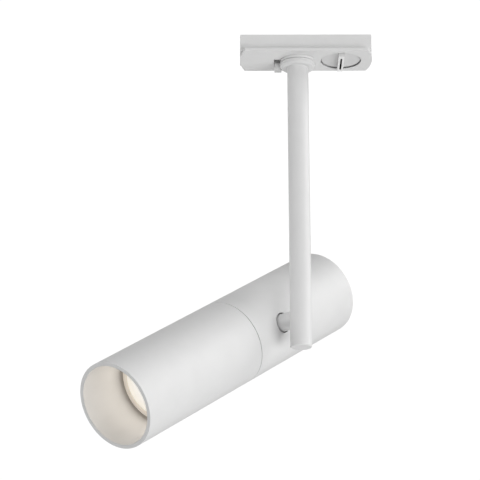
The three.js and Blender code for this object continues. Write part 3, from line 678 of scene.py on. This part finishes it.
def lock_lug():
    low, high = extent("lock_lug", KNOB)
    outline = rounded_rectangle(high.x - low.x, high.y - low.y, LUG_CORNER)
    lug = slab("lock_lug_skin", outline, low.z, high.z)
    cut(lug, square_bar("square", SQUARE_HALF_WIDTH + GAP, -FAR, FAR))
    soften(lug, LUG_EDGE)
    settle(lug, KNOB, "lock", DARK_PLASTIC, "dark_plastic", "lock_lug")
    slotted_screw("lug_screw", KNOB, "lock", STEEL, "steel",
                  head=3.4, shank=1.2, head_height=1, slot_width=0.7)
    for node in ("contact_live", "contact_neutral"):
        soften_node(node, 0.12, BRASS)


# ---- carried-over CAD nodes ----


def soften_node(node, width, look):
    """A CAD node that keeps its own shape, with its edges broken and a finish."""
    obj = frame["nodes"][node]
    obj.data.materials.clear()
    obj.data.materials.append(look)
    obj.data.shade_flat()
    if width:
        modifier = obj.modifiers.new("edges", "BEVEL")
        modifier.width = width * MM
        modifier.segments = 2
        modifier.limit_method = "ANGLE"
        modifier.angle_limit = radians(40)


def inner_pieces():
    soften_node("terminal_block", 0.2, DARK_PLASTIC)
    for node in ("live_strip", "neutral_strip", "earth_contact"):
        soften_node(node, 0.1, BRASS)
    for node in ("detent_spring", "pan_washer", "pan_spring_washer", "pan_stop_washer", "pan_nut",
                 "rod_nipple", "tilt_spring_washer", "tilt_nut"):
        soften_node(node, 0.08, STEEL)
    soften_node("chassis_bracket", 0.25, STEEL)
    for node in ("pan_friction_washer", "tilt_washer"):
        soften_node(node, 0.05, FIBRE)
    for node in ("adapter_lead", "rod_lead", "spot_lead"):
        soften_node(node, 0, SHEATH)
        frame["nodes"][node].data.shade_smooth()


# ---- rod ----

COLLAR_CHAMFER = 1.25
ROD_SEAT_RADIUS, ROD_SEAT_DEPTH = 7.55, 1  # in the collar's foot
WASHER_SEAT_RADIUS, WASHER_SEAT_DEPTH = 11.2, 0.55  # in the collar's top
ROD_CHAMFER = 0.5
FOOT_BORE_RADIUS, FOOT_BORE_DEPTH = 5.03, 3
PLUG_RADIUS = 5
PLUG_BORE_RADIUS = 2.2
CROSS_HOLE = (-2, 20)  # from behind the rod's axis to past its wall
AXLE_BORE_RADIUS = 2.4
SPIGOT_RADIUS, SPIGOT_END = 4, 4.2  # the axle's end inside the rod
AXLE_NECK_RADIUS, AXLE_NECK_LENGTH = 4.5, 10  # its end inside the tube
SADDLE_RADIUS = 7.46  # where the axle meets the round rod
CORE_SLACK = 0.02  # keeps the saddle's cutter off the spigot


def pan_collar():
    low, high = extent("pan_collar", DROP)
    bore, seat_top = NIPPLE_HOLE_RADIUS, low.z + ROD_SEAT_DEPTH
    washer_foot = high.z - WASHER_SEAT_DEPTH
    collar = lathe(
        "pan_collar_skin",
        [(bore, seat_top), (ROD_SEAT_RADIUS, seat_top), (ROD_SEAT_RADIUS, low.z, 0.1),
         (high.x - COLLAR_CHAMFER, low.z, 0.25), (high.x, low.z + COLLAR_CHAMFER, 0.25),
         (high.x, high.z, 0.1), (WASHER_SEAT_RADIUS, high.z), (WASHER_SEAT_RADIUS, washer_foot),
         (bore, washer_foot)],
        soft=0.1,
    )
    settle(collar, DROP, "rod", PAINT, "white_paint", "pan_collar")


def rod():
    low, high = extent("rod", DROP)
    radius, foot, bore_step = high.x, low.z, low.z + FOOT_BORE_DEPTH
    tube = lathe(
        "rod_skin",
        [(FOOT_BORE_RADIUS, foot, 0.05), (radius - ROD_CHAMFER, foot, 0.2),
         (radius, foot + ROD_CHAMFER, 0.4), (radius, high.z), (NIPPLE_HOLE_RADIUS, high.z),
         (NIPPLE_HOLE_RADIUS, bore_step), (FOOT_BORE_RADIUS, bore_step)],
        soft=0.05,
    )
    settle(tube, DROP, "rod", PAINT, "white_paint", "rod")


def rod_plug():
    """The plug that closes the rod's foot, level with it."""
    foot, top = extent("rod", DROP)[0].z, extent("rod_plug", DROP)[1].z
    axis = TILT_CENTRE.z
    plug = lathe(
        "rod_plug_skin",
        [(0, foot), (PLUG_RADIUS, foot, 0.05), (PLUG_RADIUS, top), (PLUG_BORE_RADIUS, top),
         (PLUG_BORE_RADIUS, axis), (0, axis)],
        soft=0.1,
        sides=96,
    )
    cut(plug, moved(turned_to_x(drum("across", SPIGOT_RADIUS + GAP, *CROSS_HOLE)), z=axis))
    settle(plug, DROP, "rod", PAINT, "steel", "rod_plug")


def stub_axle():
    low, high = extent("stub_axle", AXLE)
    radius, shoulder = high.y, high.z - AXLE_NECK_LENGTH
    axle = lathe(
        "stub_axle_skin",
        [(AXLE_BORE_RADIUS, low.z), (SPIGOT_RADIUS, low.z), (SPIGOT_RADIUS, SPIGOT_END),
         (radius, SPIGOT_END), (radius, shoulder, 0.3), (AXLE_NECK_RADIUS, shoulder),
         (AXLE_NECK_RADIUS, high.z, 0.3), (AXLE_BORE_RADIUS, high.z)],
        soft=0.1,
    )
    saddle = turned_to_x(drum("saddle", SADDLE_RADIUS, -FAR, FAR))
    cut(saddle, drum("core", SPIGOT_RADIUS + CORE_SLACK, -FAR, FAR))
    cut(axle, saddle)
    settle(axle, AXLE, "rod", PAINT, "white_paint", "stub_axle")


# ---- tube ----

TUBE_BORE = 27.25
AXLE_HOLE_RADIUS = 7
AXLE_HOLE_END = 5 - TUBE_BORE  # well inside the bore
AXLE_HOLE_EDGE = 0.25
CAP_RIM_WIDTH = 2.6
CAP_RECESS = 0.6
CAP_SEAT_RADIUS, CAP_SEAT_DEPTH = 3.3, 0.5
CAP_HOLE_RADIUS = 1.7
CAP_EDGE = 0.12
AXLE_DROP = (TUBE.inverted() @ TILT_CENTRE).y  # how far the axle sits under the tube's axis


def tube_shell(name, z0, z1, mouth, seam):
    """mouth is the rounding at z1 and seam the rounding at z0, outside."""
    radius = extent("front_tube", TUBE)[1].x
    return lathe(
        name,
        [(TUBE_BORE, z0, 0.15), (radius, z0, seam), (radius, z1, mouth), (TUBE_BORE, z1, 0.3)],
        sides=192,
    )


def front_tube():
    low, high = extent("front_tube", TUBE)
    shell = tube_shell("front_tube_skin", low.z, high.z, 0.3, 0.15)
    settle(shell, TUBE, "front", PAINT, "white_paint", "front_tube")

    def in_bore(centre, normal):
        return hypot(centre.x, centre.y) < TUBE_BORE + 2 * PICK_SLACK

    # Painted shade: the bore gets a darker, warmer white, for the shade inside the tube and the lamp's
    # warm light on it.
    paint(shell, TUBE, BORE_PAINTED_SHADE, in_bore)


def rear_housing():
    low, high = extent("rear_housing", TUBE)
    shell = tube_shell("rear_housing_skin", low.z, high.z, 0.15, 0.4)
    hole = turned_to_x(drum("axle_hole", AXLE_HOLE_RADIUS, -FAR, AXLE_HOLE_END))
    cut(shell, moved(hole, y=AXLE_DROP))
    soften(shell, AXLE_HOLE_EDGE, angle=50)
    settle(shell, TUBE, "spot", PAINT, "white_paint", "rear_housing")

    def in_hole(centre, normal):
        near = hypot(centre.y - AXLE_DROP, centre.z) < AXLE_HOLE_RADIUS + PICK_SLACK / 2
        return near and centre.x < 0 and abs(normal.x) < 0.5

    # Painted shadow: the wall of the axle hole goes near black, so the gap round the axle reads dark.
    paint(shell, TUBE, SHADOW, in_hole)


def rear_cap():
    low, high = extent("rear_cap", TUBE)
    rim, floor = high.x - CAP_RIM_WIDTH, low.z + CAP_RECESS
    cap = lathe(
        "rear_cap_skin",
        [(0, floor), (rim - CAP_RECESS, floor, 0.4), (rim, low.z, 0.4), (high.x, low.z, 0.4),
         (high.x, high.z), (0, high.z)],
        soft=0.2,
        sides=160,
    )
    before, after = low.z - PAST, high.z + PAST
    seat = low.z + CAP_SEAT_DEPTH
    hole = seat + CAP_SEAT_RADIUS - CAP_HOLE_RADIUS
    for i in (1, 2):
        x, y, _ = middle(f"cap_screw_{i}", TUBE)
        sink = lathe("sink", [(0, before), (CAP_SEAT_RADIUS, before), (CAP_SEAT_RADIUS, seat),
                              (CAP_HOLE_RADIUS, hole), (CAP_HOLE_RADIUS, after), (0, after)],
                     soft=0, sides=48)
        cut(cap, moved(sink, x, y))
    soften(cap, CAP_EDGE, segments=2)
    settle(cap, TUBE, "spot", PAINT, "white_paint", "rear_cap")
    for i in (1, 2):
        slotted_screw(f"cap_screw_{i}", TUBE, "spot", STEEL, "steel",
                      head=2.9, shank=1.3, head_height=1.2, slot_width=0.7, facing=-1)


RING_BORE = 24.9
THREAD_PITCH = 1.5
THREAD_DEPTH = 0.35
STEPS_PER_PITCH = 8


def coupling_ring():
    low, high = extent("coupling_ring", TUBE)

    def thread(r, z, angle):
        if r < high.x - THREAD_DEPTH:
            return r
        phase = (z / THREAD_PITCH - angle / (2 * pi)) % 1
        return r - THREAD_DEPTH * (1 - abs(2 * phase - 1))

    steps = int((high.z - low.z) / THREAD_PITCH * STEPS_PER_PITCH)
    crest = [(high.x, low.z + (high.z - low.z) * k / steps, 0) for k in range(steps + 1)]
    outline = [(RING_BORE, low.z, 0), *crest, (RING_BORE, high.z, 0)]
    ring = lathe("coupling_ring_skin", outline, sides=144, wobble=thread)
    settle(ring, TUBE, "spot", ALUMINIUM, "aluminium", "coupling_ring")


HOLDER_CORNER = 6
HOLDER_EDGE = 0.5
PIN_X = 5  # the lamp's pins, beside its axis
SOCKET_RADIUS = 2.8
PILOT_X = 10  # the holder's screws
PILOT_RADIUS = 1.6
HOLE_DEPTH = 8.5


def lamp_holder():
    low, high = extent("lamp_holder", TUBE)
    outline = rounded_rectangle(high.x - low.x, high.y - low.y, HOLDER_CORNER)
    holder = slab("lamp_holder_skin", outline, low.z, high.z)
    for x in (-PIN_X, PIN_X):
        cut(holder, drum("socket", SOCKET_RADIUS, high.z - HOLE_DEPTH, high.z + FAR, x, sides=48))
    for x in (-PILOT_X, PILOT_X):
        cut(holder, drum("pilot", PILOT_RADIUS, low.z - PAST, low.z + HOLE_DEPTH, x, sides=32))
    soften(holder, HOLDER_EDGE)
    settle(holder, TUBE, "spot", CERAMIC, "ceramic", "lamp_holder")
    for i in (1, 2):
        slotted_screw(f"holder_screw_{i}", TUBE, "spot", STEEL, "steel",
                      head=2.7, shank=1.3, head_height=1.6, slot_width=0.7, facing=-1)


# ---- lamp ----

BASE_FOOT_RADIUS = 8.6
BASE_RADIUS = 10.2
BASE_CHAMFER = 1.5
BASE_LENGTH = 12
CONE_FLARE = 12  # how much wider the cone is at its front
CONE_LENGTH = 24
CONE_BEND = 0.85
CONE_STEPS = 12
RIM_START = 45
RIM_LIP = 0.9
LENS_SIDE_GAP = 0.1
LENS_BACK_GAP = 0.2
LENS_DOME = 0.5
LENS_STEPS = 8
FLUTES = 24
FLUTE_DEPTH = 0.45
FLUTE_START, FLUTE_LENGTH = 14, 20
PIN_HEAD_RADIUS, PIN_HEAD_HEIGHT = 2.4, 2.3
PIN_RADIUS = 1.4
LAMP_POWER = 0.0083  # watts
LAMP_COLOR = (1, 0.945, 0.875)
LAMP_BEAM = 0.8  # the part of the lens that the light comes from
LENS_COLORS = [(0.65, 0.66, 0.69), (0.59, 0.60, 0.62), (0.52, 0.51, 0.49), (0.48, 0.45, 0.39)]


def lamp_body():
    low, high = extent("lamp_body", TUBE)
    base, rim, front = low.z, high.x, high.z
    lens_low, lens_high = extent("lamp_lens", TUBE)
    glass, recess = lens_high.x, lens_high.x + LENS_SIDE_GAP
    seat = lens_low.z - LENS_BACK_GAP

    def fluted(r, z, angle):
        along = (z - base - FLUTE_START) / FLUTE_LENGTH
        if not 0 < along < 1 or r <= BASE_RADIUS:
            return r
        return r - FLUTE_DEPTH * sin(pi * along) * (1 - cos(FLUTES * angle)) / 2

    def on_cone(share):
        return BASE_RADIUS + CONE_FLARE * share, base + BASE_LENGTH + CONE_LENGTH * share**CONE_BEND, 0

    shell = lathe(
        "lamp_body_skin",
        [(0, base), (BASE_FOOT_RADIUS, base), (BASE_RADIUS, base + BASE_CHAMFER),
         *[on_cone(k / CONE_STEPS) for k in range(CONE_STEPS + 1)],
         (rim, base + RIM_START, 0.6), (rim, front, 0.5), (glass + RIM_LIP, front, 0.5),
         (recess, front - RIM_LIP, 0.2), (recess, seat), (0, seat)],
        soft=0.2,
        sides=192,
        wobble=fluted,
    )
    settle(shell, TUBE, "lamp", LAMP_SHELL_PAINTED_GLOW, "lamp_shell", "lamp_body")


def lamp_lens():
    low, high = extent("lamp_lens", TUBE)
    radius = high.x
    shares = [k / LENS_STEPS for k in range(LENS_STEPS + 1)]
    dome = [(radius * share, high.z - LENS_DOME * share**2, 0) for share in shares]
    glass = lathe("lamp_lens_skin", [*dome, (radius, low.z), (0, low.z)], soft=0.1, sides=144)
    centre = TUBE @ Vector((0, 0, high.z))
    round_glow(LAMP_LENS, centre, radius, LENS_COLORS)
    settle(glass, TUBE, "lamp", LAMP_LENS, "lamp_lens", "lamp_lens")
    lamp_light(centre, radius * LAMP_BEAM)


def lamp_pins():
    for i, x in ((1, -PIN_X), (2, PIN_X)):
        low, high = extent(f"lamp_pin_{i}", TUBE)
        foot, shoulder = low.z, low.z + PIN_HEAD_HEIGHT
        pin = lathe(
            f"lamp_pin_{i}_skin",
            [(0, foot), (PIN_HEAD_RADIUS, foot, 0.4), (PIN_HEAD_RADIUS, shoulder, 0.3),
             (PIN_RADIUS, shoulder), (PIN_RADIUS, high.z), (0, high.z)],
            soft=0.1,
            sides=48,
        )
        settle(moved(pin, x), TUBE, "lamp", STEEL, "steel", f"lamp_pin_{i}")


def lamp_light(centre, radius):
    """What the lens throws on the tube's bore. It goes with the lamp."""
    light = bpy.data.lights.new("lamp_light", "AREA")
    light.shape = "DISK"
    light.size = 2 * radius * MM
    light.energy = LAMP_POWER
    light.color = LAMP_COLOR
    obj = bpy.data.objects.new("lamp_light", light)
    bpy.context.scene.collection.objects.link(obj)
    obj.matrix_world = local_frame((centre + BEAM * GAP) * MM, AXLE_DIRECTION, -BEAM)
    obj.visible_camera = False
    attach(obj, "lamp")


# ---- stage ----

FLOOR_DEPTH = 2.8
FLOOR_REACH = 45
FLOOR_COLOR = (0.85, 0.85, 0.85, 1)
FLOOR_LIFT = 0.62  # how much paler the floor looks than it lights the object


def seen_by_camera(tree, plain, shown):
    """A mix of two shaders: shown where the camera sees the surface itself, plain for all other light."""
    path = tree.nodes.new("ShaderNodeLightPath")
    mix = tree.nodes.new("ShaderNodeMixShader")
    tree.links.new(path.outputs["Is Camera Ray"], mix.inputs["Fac"])
    tree.links.new(plain, mix.inputs[1])
    tree.links.new(shown, mix.inputs[2])
    return mix.outputs["Shader"]


def stage():
    """A wide pale floor under the object."""
    bm = bmesh.new()
    corners = [(-1, -1), (1, -1), (1, 1), (-1, 1)]
    bm.faces.new([bm.verts.new((x * FLOOR_REACH, y * FLOOR_REACH, -FLOOR_DEPTH)) for x, y in corners])
    floor = object_of("studio_floor", bm)
    look = bpy.data.materials.new("studio_floor")
    look.use_nodes = True
    nodes, links = look.node_tree.nodes, look.node_tree.links
    matt = nodes["Principled BSDF"]
    matt.inputs["Base Color"].default_value = FLOOR_COLOR
    matt.inputs["Roughness"].default_value = 0.9
    lift = nodes.new("ShaderNodeEmission")
    lift.inputs["Strength"].default_value = FLOOR_LIFT
    pale = nodes.new("ShaderNodeAddShader")
    links.new(matt.outputs["BSDF"], pale.inputs[0])
    links.new(lift.outputs["Emission"], pale.inputs[1])
    mix = seen_by_camera(look.node_tree, matt.outputs["BSDF"], pale.outputs["Shader"])
    links.new(mix, nodes["Material Output"].inputs["Surface"])
    floor.data.materials.append(look)
    floor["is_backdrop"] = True


SOFTBOX_SIZE = 1.4
SOFTBOX_DISTANCE = 2.2
BACKDROP_STRENGTH = 1.05
AMBIENT_STRENGTH = 0.28


def softbox(name, azimuth, elevation, power):
    """A square area light that faces the object. Azimuth 0 is the camera's side and 90 is +X."""
    light = bpy.data.lights.new(name, "AREA")
    light.size = SOFTBOX_SIZE
    light.energy = power
    obj = bpy.data.objects.new(name, light)
    a, e = radians(azimuth), radians(elevation)
    towards = Vector((sin(a) * cos(e), -cos(a) * cos(e), sin(e)))
    low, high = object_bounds()
    obj.location = (low + high) / 2 + towards * SOFTBOX_DISTANCE
    obj.rotation_mode = "QUATERNION"
    obj.rotation_quaternion = towards.to_track_quat("Z", "Y")
    bpy.context.scene.collection.objects.link(obj)


def world():
    """White behind the object, and an even light all round it."""
    sky = bpy.data.worlds.new("studio")
    bpy.context.scene.world = sky
    sky.use_nodes = True
    nodes, links = sky.node_tree.nodes, sky.node_tree.links
    backdrop = nodes["Background"]
    backdrop.inputs["Color"].default_value = (1, 1, 1, 1)
    backdrop.inputs["Strength"].default_value = BACKDROP_STRENGTH
    ambient = nodes.new("ShaderNodeBackground")
    ambient.inputs["Color"].default_value = (1, 1, 1, 1)
    ambient.inputs["Strength"].default_value = AMBIENT_STRENGTH
    mix = seen_by_camera(sky.node_tree, ambient.outputs["Background"], backdrop.outputs["Background"])
    links.new(mix, nodes["World Output"].inputs["Surface"])


CAMERA_PLACE = Vector((-0.0462, -1.376, -0.58315))
CAMERA_PITCH = 18.0
CAMERA_YAW = 0.2
CAMERA_ROLL = -0.19
CAMERA_LENS = 156.98
SENSOR = 36


def camera():
    data = bpy.data.cameras.new("camera")
    data.sensor_width = SENSOR
    data.lens = CAMERA_LENS
    data.clip_start, data.clip_end = 0.05, 50
    obj = bpy.data.objects.new("camera", data)
    bpy.context.scene.collection.objects.link(obj)
    yaw, pitch = radians(CAMERA_YAW), radians(CAMERA_PITCH)
    forward = Vector((sin(yaw) * cos(pitch), cos(yaw) * cos(pitch), sin(pitch)))
    right = Vector((cos(yaw), -sin(yaw), 0))
    upright = local_frame(CAMERA_PLACE, right, -forward)
    obj.matrix_world = upright @ Matrix.Rotation(radians(CAMERA_ROLL), 4, "Z")
    bpy.context.scene.camera = obj


def lights():
    """A studio rig: a key from the right and below, fills round it, and two rims behind."""
    softbox("key", azimuth=50, elevation=-28, power=26)
    softbox("front", azimuth=5, elevation=-12, power=5)
    softbox("side", azimuth=95, elevation=32, power=18)
    softbox("top", azimuth=-15, elevation=60, power=9)
    softbox("fill", azimuth=-75, elevation=5, power=13)
    softbox("rim_left", azimuth=-145, elevation=0, power=9)
    softbox("rim_low", azimuth=180, elevation=-45, power=9)


camera()
cover_plate()
adapter_housing()
adapter_screws()
pan_bush()
latch()
lock_knob()
lock_lug()
inner_pieces()
pan_collar()
rod()
rod_plug()
stub_axle()
front_tube()
rear_housing()
rear_cap()
coupling_ring()
lamp_holder()
lamp_body()
lamp_lens()
lamp_pins()
stage()
world()
lights()
bpy.context.scene.view_settings.view_transform = "Standard"
